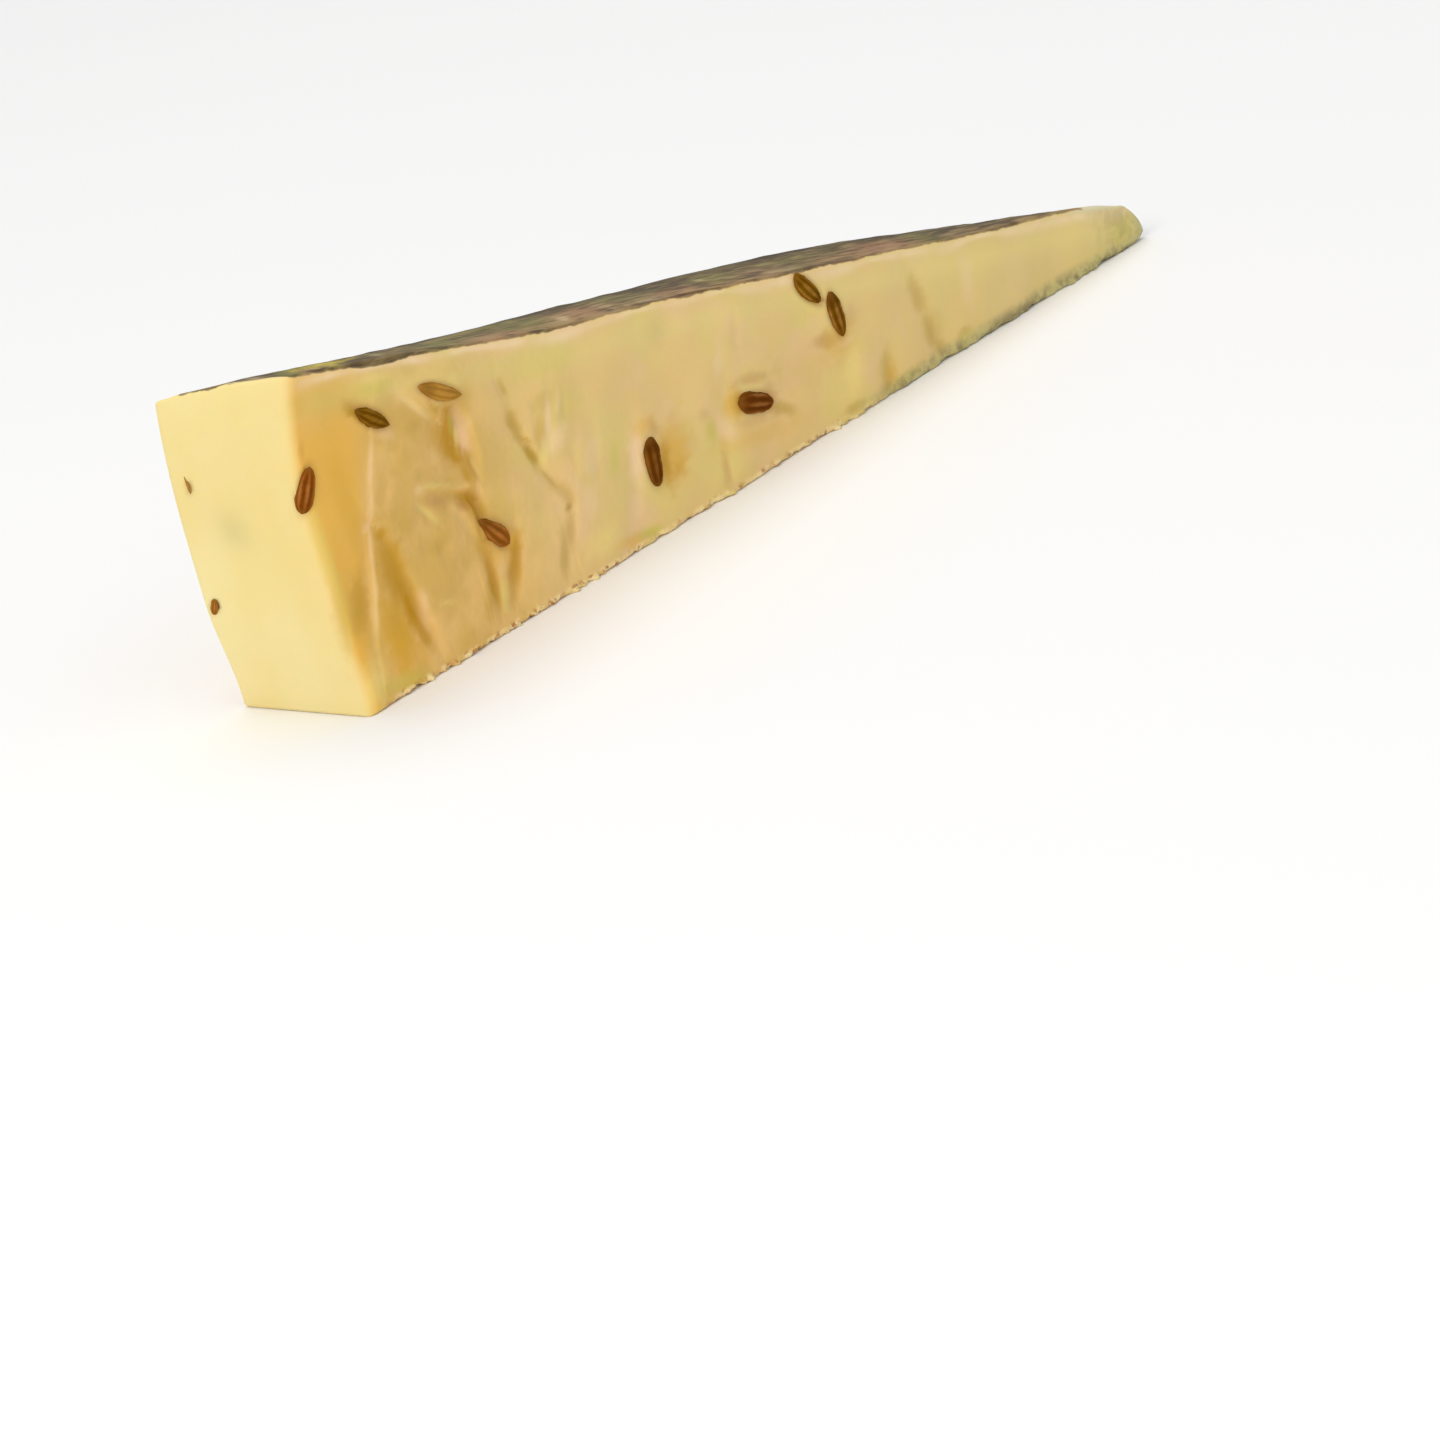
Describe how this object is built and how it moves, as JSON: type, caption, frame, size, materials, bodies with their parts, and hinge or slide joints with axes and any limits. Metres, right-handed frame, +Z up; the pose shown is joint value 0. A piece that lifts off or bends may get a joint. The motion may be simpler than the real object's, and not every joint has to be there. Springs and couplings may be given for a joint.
{
  "type": "wedge of cumin cheese",
  "caption": "Thin wedge of semi-hard cheese with cumin seeds: torn side faces, flat base, dark rind along the sloping top, blunt tip.",
  "frame": {"origin": "middle of the box of the wedge, at the level of its flat base", "axes": "+Z up from the base, +X from the thick end to the tip, +Y from the shown torn face to the back face"},
  "size_m": [0.1582, 0.0208, 0.039],
  "materials": {
    "cheese": "pale yellow cheese paste, satin where it was cut, rough where it was torn",
    "cumin_seed": "dry brown seed with ribs along it"
  },
  "bodies": {
    "root": {"cheese_wedge": "cheese"}
  },
  "joints": []
}
